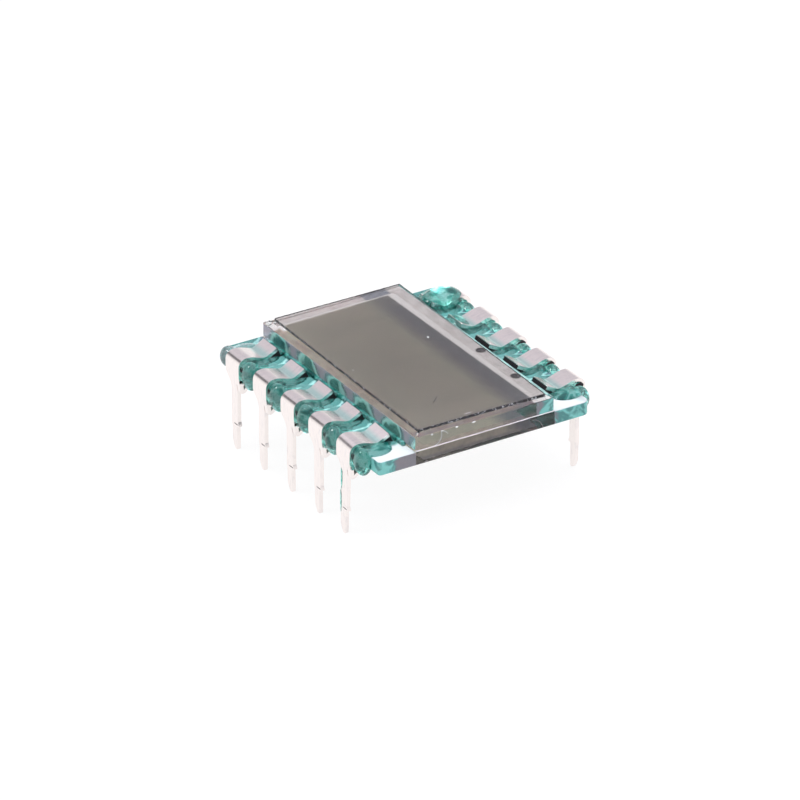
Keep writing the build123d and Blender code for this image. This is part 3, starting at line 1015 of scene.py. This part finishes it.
class LCD_OT_glass_plates(Operator):
    """Model the two glass plates with their cut edges and bonded faces"""

    bl_idname = "lcd.glass_plates"
    bl_label = "Glass plates"

    def execute(self, context):
        glass = context.scene.lcd_glass
        skins = [
            float_glass(),
            broken_glass("float_glass_scribed_edge", glass.cut, glass.body),
            clear_layer("float_glass_bonded_face", "C8CED0", 0.012, 0.8, rough=0.9),
            stained_edge("rear_glass_resin_wetted_edge", 4.55, 0.5),
            stained_edge("front_glass_resin_wetted_edge", 3.25),
            wetted_ledge(),
            # Painted shade on the rear glass's short edges
            broken_glass("float_glass_scribed_edge_in_shade", glass.shade, glass.clean),
        ]
        low, high = (BACK_EDGE, -REAR_HALF, UNDERSIDE), (FRONT_EDGE, REAR_HALF, LEDGE - PLAY)
        rear = plate_blank(low, high, WORN_CORNER, glass.edge_round / MM)
        low, high = (BACK_EDGE, -FRONT_HALF, GAP_TOP + PLAY), (FRONT_EDGE, FRONT_HALF, GLASS_TOP)
        front = plate_blank(low, high, CORNER, glass.edge_round / MM)
        for plate in (rear, front):
            for skin in skins:
                plate.data.materials.append(skin)
            assign_faces(plate, CUT, lambda f: abs(f.normal.z) < FACING)
        line = REAR_STAIN_LINE
        edit(rear)
        cut_across(Y, (-FRONT_HALF, FRONT_HALF, -line, line))
        for index, wanted in (
            (REAR_STAIN, lambda f: abs(f.normal.z) < FACING and not -line < middle(f).y < line),
            (BONDED, lambda f: f.normal.z > FACING and abs(middle(f).y) < FRONT_HALF),
            # Short edges of the rear glass: painted shade
            (SHADED, lambda f: abs(f.normal.x) > FACING and -line < middle(f).y < line),
            (WETTED, lambda f: f.normal.z > FACING and abs(middle(f).y) > FRONT_HALF),
        ):
            assign_faces(rear, index, wanted)
        edit(front)
        pick("FACE", lambda f: f.normal.z > FACING)
        bpy.ops.mesh.inset(thickness=0.3)
        pick("FACE", lambda f: f.normal.x > FACING)
        bpy.ops.mesh.bisect(plane_co=(0, FRONT_STAIN_LINE, 0), plane_no=(0, 1, 0))
        for index, wanted in (
            (FRONT_STAIN, lambda f: f.normal.x > FACING and middle(f).y > FRONT_STAIN_LINE),
            (FRONT_STAIN, lambda f: f.normal.z > -FACING and middle(f).y > FRONT_HALF - 0.17),
            (WETTED, lambda f: f.normal.y < -FACING),
            (BONDED, lambda f: f.normal.z < -FACING),
            (BONDED, on_display),
        ):
            assign_faces(front, index, wanted)
        finish_piece(rear, "rear_glass_cut", ["rear_glass"])
        finish_piece(front, "front_glass_cut", ["front_glass"])
        return {"FINISHED"}


def film_sheet(outline, bottom, top, skew, ragged):
    """Sheet of film laid a little out of square, with ragged knife-cut sides."""
    low, high = Vector((*outline[0], bottom)), Vector((*outline[1], top))
    centre = (low + high) / 2
    sheet = block(low, high)
    edit(sheet)
    bpy.ops.mesh.select_all(action="SELECT")
    bpy.ops.transform.rotate(value=-math.radians(skew), orient_axis="Z", center_override=centre)
    pick("EDGE", lambda e: span(e, Z) < 0.01)
    bpy.ops.mesh.subdivide(number_cuts=60)
    begin()
    for vertex in sheet.data.vertices:
        wave = waver(vertex.co.x + 1.7 * vertex.co.y, FILM_WAVES)
        rise = 1.0 if vertex.co.z > centre.z else 0.4
        away = (vertex.co - centre) * Vector((1, 1, 0))
        if away.length:
            vertex.co -= away.normalized() * ragged * rise * (1 + wave) / 2
    return sheet


class LCD_OT_films(Operator):
    """Model the front film, the rear film and the foil behind it"""

    bl_idname = "lcd.films"
    bl_label = "Films and foil"

    def execute(self, context):
        ragged = context.scene.lcd_films.ragged / MM
        front = film_sheet(FRONT_FILM, GLASS_TOP + PLAY, FILM_TOP, FRONT_SKEW, ragged)
        for skin in (polariser_face(), polariser_dye(), film_cut()):
            front.data.materials.append(skin)
        assign_faces(front, 1, lambda f: f.normal.z < -FACING)
        assign_faces(front, 2, lambda f: abs(f.normal.z) < 0.5)
        finish_piece(front, "front_film", ["front_polariser"])
        rear = film_sheet(REAR_FILM, FOIL_TOP, UNDERSIDE + 2 * PLAY, REAR_SKEW, ragged)
        for skin in (reflector(), film_cut()):
            rear.data.materials.append(skin)
        assign_faces(rear, 1, lambda f: f.normal.z < 0.5)
        finish_piece(rear, "rear_film", ["rear_polariser"])
        foil = film_sheet(REAR_FILM, FOIL_TOP - FOIL, FOIL_TOP, REAR_SKEW, ragged)
        foil.data.materials.append(foil_back())
        finish_piece(foil, "rear_foil", ["reflector_foil"])
        return {"FINISHED"}


class LCD_OT_cell_gap(Operator):
    """Finish the seal, dots, fluid and electrodes between the plates"""

    bl_idname = "lcd.cell_gap"
    bl_label = "Cell gap"

    def execute(self, context):
        finishes = {
            "perimeter_seal": seal_epoxy(),
            "liquid_crystal": clear_layer("liquid_crystal_nematic", "C8C2B0", 0.01, 3.0),
            "segment_electrodes": clear_layer("indium_tin_oxide_etched", "8A7C94", 0.02, 1.0),
            "common_electrode": clear_layer("indium_tin_oxide_sputtered", "8A7C94", 0.01, 2.0),
            "fill_port_plug": plug_resin(),
        }
        for name, finish in finishes.items():
            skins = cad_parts[name].data.materials
            skins.clear()
            skins.append(finish)
        paste = dot_paste()
        for number in (1, 2):
            low, high = node_box(f"transfer_dot_{number}")
            begin()
            bpy.ops.mesh.primitive_cylinder_add(
                vertices=28, radius=(high.x - low.x) / 2 + 0.04, depth=high.z - low.z,
                location=(low + high) / 2,
            )
            dot = settle()
            apply_modifier(dot, "BEVEL", width=FINE_EDGE, segments=2)
            dot.data.materials.append(paste)
            finish_piece(dot, f"paste_dot_{number}", [f"transfer_dot_{number}"])
        return {"FINISHED"}


class LCD_OT_seal_rim(Operator):
    """Model the rim of seal squeezed out between the plates' front edges"""

    bl_idname = "lcd.seal_rim"
    bl_label = "Seal rim"

    def execute(self, context):
        half = FRONT_HALF - 0.05
        rim = block((FRONT_EDGE - 0.12, -half, LEDGE), (FRONT_EDGE - 0.015, half, GAP_TOP))
        edit(rim)
        pick("EDGE", lambda e: span(e, Y) > 1)
        bpy.ops.mesh.subdivide(number_cuts=48)
        begin()
        for vertex in rim.data.vertices:
            if vertex.co.x > FRONT_EDGE - 0.05:
                vertex.co.x -= 0.02 * (1 + waver(vertex.co.y, RIM_WAVES))
        rim.data.materials.append(seal_edge())
        finish_piece(rim, "seal_squeezed_rim", [])
        return {"FINISHED"}


# Plane just inside the front edges in which the cracks and most chips lie, and the cracks:
# centre, radius, start and sweep in degrees
CRACKED = FRONT_EDGE - 0.02
CRACKS = [
    ((CRACKED, -2.95, 5.17), 0.52, 18, 98),
    ((CRACKED, -2.6, 4.75), 0.62, 75, 40),
    ((CRACKED, 2.5, 3.75), 0.75, 80, 65),
]

# Small chips and specks: place and half sizes
CHIPS = [
    ((CRACKED, -2.98, 5.3), (0.02, 0.07, 0.04)),
    ((CRACKED, -1.6, 5.31), (0.02, 0.09, 0.03)),
    ((CRACKED, -0.65, 5.31), (0.02, 0.12, 0.03)),
    ((CRACKED, -1.82, 4.31), (0.02, 0.05, 0.03)),
    ((CRACKED, -1.32, 4.28), (0.02, 0.07, 0.02)),
    ((CRACKED, -2.54, 4.41), (0.02, 0.05, 0.03)),
    ((CRACKED, -3.3, 3.97), (0.02, 0.09, 0.03)),
    ((FRONT_EDGE - 0.06, 5.6, 4.05), (0.03, 0.08, 0.05)),
    ((6.62, -0.64, GLASS_TOP + 0.16), (0.04, 0.24, 0.03)),
    ((-0.91, 1.88, FILM_TOP), (0.06, 0.04, 0.01)),
    ((0.08, -2.95, FILM_TOP), (0.05, 0.04, 0.01)),
]

# Scratch in the front film: place, half sizes and turn in degrees
SCRATCH = (4.69, -1.24, FILM_TOP + 0.004)
SCRATCH_SIZE = (0.36, 0.022, 0.006)
SCRATCH_TURN = 47


def crack_arc(centre, radius, start, sweep):
    """Thin curved crack in the front edge of a plate, from a start angle over a sweep."""
    begin()
    angle = math.radians(start)
    place = Vector(centre) + radius * Vector((0, math.cos(angle), math.sin(angle)))
    bpy.ops.mesh.primitive_plane_add(size=0.03, location=place, rotation=(angle, 0, 0))
    arc = settle()
    edit(arc)
    bpy.ops.mesh.select_all(action="SELECT")
    bpy.ops.mesh.spin(steps=14, angle=math.radians(sweep), center=centre, axis=(1, 0, 0))
    bpy.ops.mesh.select_all(action="SELECT")
    bpy.ops.mesh.remove_doubles(threshold=0.001)
    face_outwards()
    return arc


class LCD_OT_wear_marks(Operator):
    """Model the cracks, chips and specks of the glass, and the scratch in the film"""

    bl_idname = "lcd.wear_marks"
    bl_label = "Wear marks"

    def execute(self, context):
        marks = join([crack_arc(*crack) for crack in CRACKS] + [blob(*chip) for chip in CHIPS])
        marks.data.materials.append(crushed_glass())
        finish_piece(marks, "glass_cracks_and_chips", [])
        scratch = blob(SCRATCH, SCRATCH_SIZE)
        scratch.data.materials.append(film_cut())
        edit(scratch)
        bpy.ops.mesh.select_all(action="SELECT")
        bpy.ops.transform.rotate(
            value=math.radians(SCRATCH_TURN), orient_axis="Z", center_override=SCRATCH
        )
        finish_piece(scratch, "film_scratch", [])
        return {"FINISHED"}


# Resin: how far it is sunk into glass or strip that it wets, half its width under a head, and
# how much lower each row's saddles and lobes lie
SUNK = 0.02
HALF_FILL = HALF_HEAD - SUNK
DROPS = {"left": 0.08, "right": 0.2}


def saddle(near, far, drop):
    """Resin drawn up between two heads: high against each strip and hollow in the middle."""
    low, high = (near, LIP_END + 0.5, LEDGE - SUNK), (far, REAR_HALF + 0.16, HEAD_LINE - SUNK - drop)
    piece = block(low, high)
    centre = (near + far) / 2
    edit(piece)
    cut_across(X, (near + 0.3, centre, far - 0.3))
    cut_across(Y, (REAR_HALF - 0.35,))
    shift(lambda v: v.co.z > LEDGE and near + 0.1 < v.co.x < far - 0.1, (0, 0, -0.14))
    shift(lambda v: v.co.z > LEDGE and abs(v.co.x - centre) < 0.1, (0, 0, -0.05))
    shift(lambda v: v.co.z > LEDGE and v.co.y < LIP_END + 0.6, (0, 0, -0.12))
    shift(lambda v: v.co.z > LEDGE and v.co.y > REAR_HALF + 0.1, (0, 0, -0.14))
    return piece


def gap_resin(near, far, drop):
    """Resin of one gap between two pins: the saddle, the skin down the glass and a hanging lobe."""
    return [
        saddle(near, far, drop),
        block((near, REAR_HALF - 0.05, UNDERSIDE + 0.05), (far, REAR_HALF + 0.17, LEDGE + 0.1)),
        blob((near + 0.4, REAR_HALF + 0.2, UNDERSIDE + 0.32), (0.54, 0.43, 0.84 - drop)),
    ]


def head_resin(x):
    """Resin of one pin: the fill behind its knee, the arch under its head and a puddle at its lip."""
    near, far, top = x - HALF_FILL, x + HALF_FILL, HEAD_LINE - SUNK
    fill = block((near, REAR_HALF - 0.05, UNDERSIDE - 0.28), (far, KNEE_LINE, top))
    edit(fill)
    shift(lambda v: v.co.z < UNDERSIDE and v.co.y < REAR_HALF, (0, 0.3, 0))
    arch = block((near, LIP_END + 0.8, LEDGE - SUNK), (far, REAR_HALF + 0.1, top))
    edit(arch)
    slope = (0, 0, CONTACT_LINE - HEAD_LINE)
    shift(lambda v: v.co.z > LEDGE + 0.1 and v.co.y < LIP_END + 1, slope)
    return [fill, arch, blob((x, LIP_END + 0.55, LEDGE - SUNK), (0.95, 0.92, 0.2))]


def end_resin(row):
    """Bead along the front plate's foot, and the lobes, puddles and drops at a row's two ends."""
    front, back = PIN_PLACES[-1] + HALF_FILL, PIN_PLACES[0] - HALF_FILL
    pieces = [
        block(
            (BACK_EDGE + 0.5, FRONT_HALF - SUNK, LEDGE - SUNK),
            (FRONT_EDGE - 0.8, FRONT_HALF + 0.26, LEDGE + 0.2),
        ),
        blob((front + 0.36, REAR_HALF + 0.18, UNDERSIDE + 0.3), (0.52, 0.42, 0.8 - DROPS[row])),
        blob((front + 0.35, REAR_HALF - 0.55, LEDGE), (0.62, 0.85, 0.2)),
        blob((back - 0.35, REAR_HALF + 0.06, UNDERSIDE + 0.42), (0.55, 0.36, 0.56)),
        blob((back - 0.3, REAR_HALF - 0.55, LEDGE), (0.6, 0.85, 0.2)),
    ]
    drops = {
        "left": [((BACK_EDGE + 0.52, REAR_HALF + 0.14, UNDERSIDE + 0.42), (0.5, 0.42, 0.55))],
        "right": [
            ((PIN_PLACES[0], LIP_END + 0.85, LEDGE + 0.2), (0.86, 1.15, 0.62)),
            ((PIN_PLACES[1] - 0.1, LIP_END + 0.25, LEDGE + 0.1), (0.74, 0.5, 0.42)),
        ],
    }
    return pieces + [blob(*drop) for drop in drops[row]]


def model_resin(row, side):
    """Resin of one row, its pieces fused together, with the two runs down the last left leg."""
    pieces = []
    for x in PIN_PLACES:
        pieces += head_resin(x)
    for x, following in zip(PIN_PLACES, PIN_PLACES[1:]):
        pieces += gap_resin(x + HALF_FILL, following - HALF_FILL, DROPS[row])
    mass = join(pieces + end_resin(row))
    mass.scale.y = side
    settle()
    edit(mass)
    face_outwards()
    apply_modifier(mass, "REMESH", mode="VOXEL", voxel_size=bpy.context.scene.lcd_resin.voxel / MM)
    apply_modifier(mass, "SMOOTH", factor=0.5, iterations=14)
    if row == "left":
        edge = PIN_PLACES[-1] - 0.36
        runs = [
            blob((edge, -LEG_LINE, 3.0), (0.1, 0.14, 1.05)),
            blob((edge - 0.07, -LEG_LINE, 1.65), (0.1, 0.13, 1.0)),
        ]
        mass = join([mass, *runs])
    return mass


class LCD_OT_resin(Operator):
    """Model the cured resin along both rows"""

    bl_idname = "lcd.resin"
    bl_label = "Potting resin"

    def execute(self, context):
        finish = potting_resin()
        for row, side in ROWS.items():
            mass = model_resin(row, side)
            mass.data.materials.append(finish)
            finish_piece(mass, f"resin_bead_{row}", [f"resin_{row}"], smooth=60)
        return {"FINISHED"}


def studio_floor():
    """Matt laminate sweep: white to the camera, with a faint shadow of the object."""
    stage = bpy.context.scene.lcd_stage
    material, tree, coords = new_material("laminate_sweep_matt")
    path = wire(tree, "LightPath")
    seen = path.outputs["Is Camera Ray"]
    for ray in ("Is Glossy Ray", "Is Transmission Ray"):
        seen = wire(tree, "Math", {0: seen, 1: path.outputs[ray]}, operation="MAXIMUM")
    grain = wire(tree, "TexNoise", {"Vector": coords, "Scale": per(40)})
    tone = wire(tree, "Mix", {SHARE: grain, FIRST: stage.floor, SECOND: WHITE}, data_type="RGBA")
    matt = wire(tree, "BsdfDiffuse", {"Color": tone})
    white = wire(tree, "Emission", {"Color": WHITE, "Strength": 1.0})
    share = wire(tree, "Math", {0: seen, 1: stage.glow}, operation="MULTIPLY")
    return close(material, wire(tree, "MixShader", {0: share, 1: matt, 2: white}))


def light_world():
    """Light tent: white at the horizon, a soft box overhead, and one dark port in its side."""
    stage = bpy.context.scene.lcd_stage
    world = bpy.data.worlds.new("light_tent")
    world.use_nodes = True
    tree = world.node_tree
    tree.nodes.clear()
    coords = wire(tree, "TexCoord").outputs["Generated"]
    axes = wire(tree, "SeparateXYZ", {"Vector": coords})
    height = wire(
        tree, "MapRange", {"Value": axes.outputs["Z"], "From Min": 0.1, "From Max": 0.42},
        interpolation_type="SMOOTHSTEP",
    )
    overhead = wire(
        tree, "MapRange",
        {
            "Value": axes.outputs["Z"],
            "From Min": 0.7,
            "From Max": 0.9,
            "To Min": 1.0,
            "To Max": stage.overhead,
        },
        interpolation_type="SMOOTHSTEP",
    )
    tone = wire(tree, "Mix", {SHARE: height, FIRST: stage.rim, SECOND: stage.sky}, data_type="RGBA")
    port = wire(tree, "VectorMath", {0: coords, 1: DARK_PORT}, operation="DOT_PRODUCT")
    shade = wire(
        tree, "MapRange", {"Value": port, "From Min": 0.974, "From Max": 0.988, "To Max": 0.9},
        interpolation_type="SMOOTHSTEP",
    )
    tone = wire(tree, "Mix", {SHARE: shade, FIRST: tone, SECOND: linear("202226")}, data_type="RGBA")
    # The limit holds for glossy rays, apart from those that are transmission rays too
    path = wire(tree, "LightPath")
    gloss = wire(
        tree, "Math", {0: path.outputs["Is Glossy Ray"], 1: path.outputs["Is Transmission Ray"]},
        operation="SUBTRACT", use_clamp=True,
    )
    limited = wire(tree, "Math", {0: overhead, 1: stage.mirrored}, operation="MINIMUM")
    strength = wire(tree, "Mix", {0: gloss, 2: overhead, 3: limited})
    light = wire(tree, "Background", {"Color": tone, "Strength": strength})
    white = wire(tree, "Background", {"Color": WHITE, "Strength": 1.0})
    both = wire(tree, "MixShader", {0: path.outputs["Is Camera Ray"], 1: light, 2: white})
    wire(tree, "OutputWorld", {"Surface": both})
    return world


class LCD_OT_stage(Operator):
    """Set the camera, the pale floor and the soft light"""

    bl_idname = "lcd.stage"
    bl_label = "Stage"

    def execute(self, context):
        scene = context.scene
        stage = scene.lcd_stage
        begin()
        bpy.ops.mesh.primitive_plane_add(size=4, location=(0, 0, 0))
        floor = context.object
        floor.name = "sweep"
        floor.data.materials.append(studio_floor())
        turn = (
            Matrix.Rotation(math.radians(stage.azimuth), 4, "Z")
            @ Matrix.Rotation(math.radians(90 - stage.elevation), 4, "X")
            @ Matrix.Rotation(math.radians(stage.roll), 4, "Z")
        )
        target = TARGET * MM
        data = bpy.data.cameras.new("camera")
        data.lens = stage.lens
        data.sensor_width = 36
        data.clip_start = 0.01
        camera = bpy.data.objects.new("camera", data)
        scene.collection.objects.link(camera)
        camera.matrix_world = Matrix.Translation(target + turn.col[2].xyz * stage.distance) @ turn
        scene.camera = camera
        scene.world = light_world()
        bpy.ops.object.light_add(type="AREA", location=stage.lamp_place)
        lamp = context.object
        lamp.name = "soft_box"
        lamp.data.size = stage.lamp_size
        lamp.data.energy = stage.lamp_power
        lamp.rotation_euler = (target - lamp.location).to_track_quat("-Z", "Y").to_euler()
        scene.view_settings.view_transform = "Standard"
        scene.cycles.transparent_max_bounces = CLEAR_BOUNCES
        scene.cycles.max_bounces = BOUNCES
        scene.cycles.transmission_bounces = BOUNCES
        return {"FINISHED"}


class LCD_PT_looks(Panel):
    """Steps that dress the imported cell, in their order"""

    bl_idname = "LCD_PT_looks"
    bl_label = "Segment LCD"
    bl_space_type = "VIEW_3D"
    bl_region_type = "UI"
    bl_category = "Segment LCD"

    def draw(self, context):
        for step in STEPS:
            self.layout.operator(step.bl_idname)


STEPS = (
    LCD_OT_glass_plates,
    LCD_OT_films,
    LCD_OT_cell_gap,
    LCD_OT_seal_rim,
    LCD_OT_wear_marks,
    LCD_OT_clip_pins,
    LCD_OT_resin,
    LCD_OT_stage,
)
SETTINGS = {
    "lcd_pins": PinSettings,
    "lcd_glass": GlassSettings,
    "lcd_films": FilmSettings,
    "lcd_resin": ResinSettings,
    "lcd_stage": StageSettings,
}


def register():
    """Register the settings, the operators and the panel."""
    for name, group in SETTINGS.items():
        bpy.utils.register_class(group)
        setattr(bpy.types.Scene, name, PointerProperty(type=group))
    for step in STEPS:
        bpy.utils.register_class(step)
    bpy.utils.register_class(LCD_PT_looks)


def unregister():
    """Undo register, in the opposite order."""
    bpy.utils.unregister_class(LCD_PT_looks)
    for step in reversed(STEPS):
        bpy.utils.unregister_class(step)
    for name, group in reversed(SETTINGS.items()):
        delattr(bpy.types.Scene, name)
        bpy.utils.unregister_class(group)


def main():
    """Dress the imported cell step by step."""
    register()
    for step in STEPS:
        group, name = step.bl_idname.split(".")
        getattr(getattr(bpy.ops, group), name)()


if __name__ == "__main__":
    main()
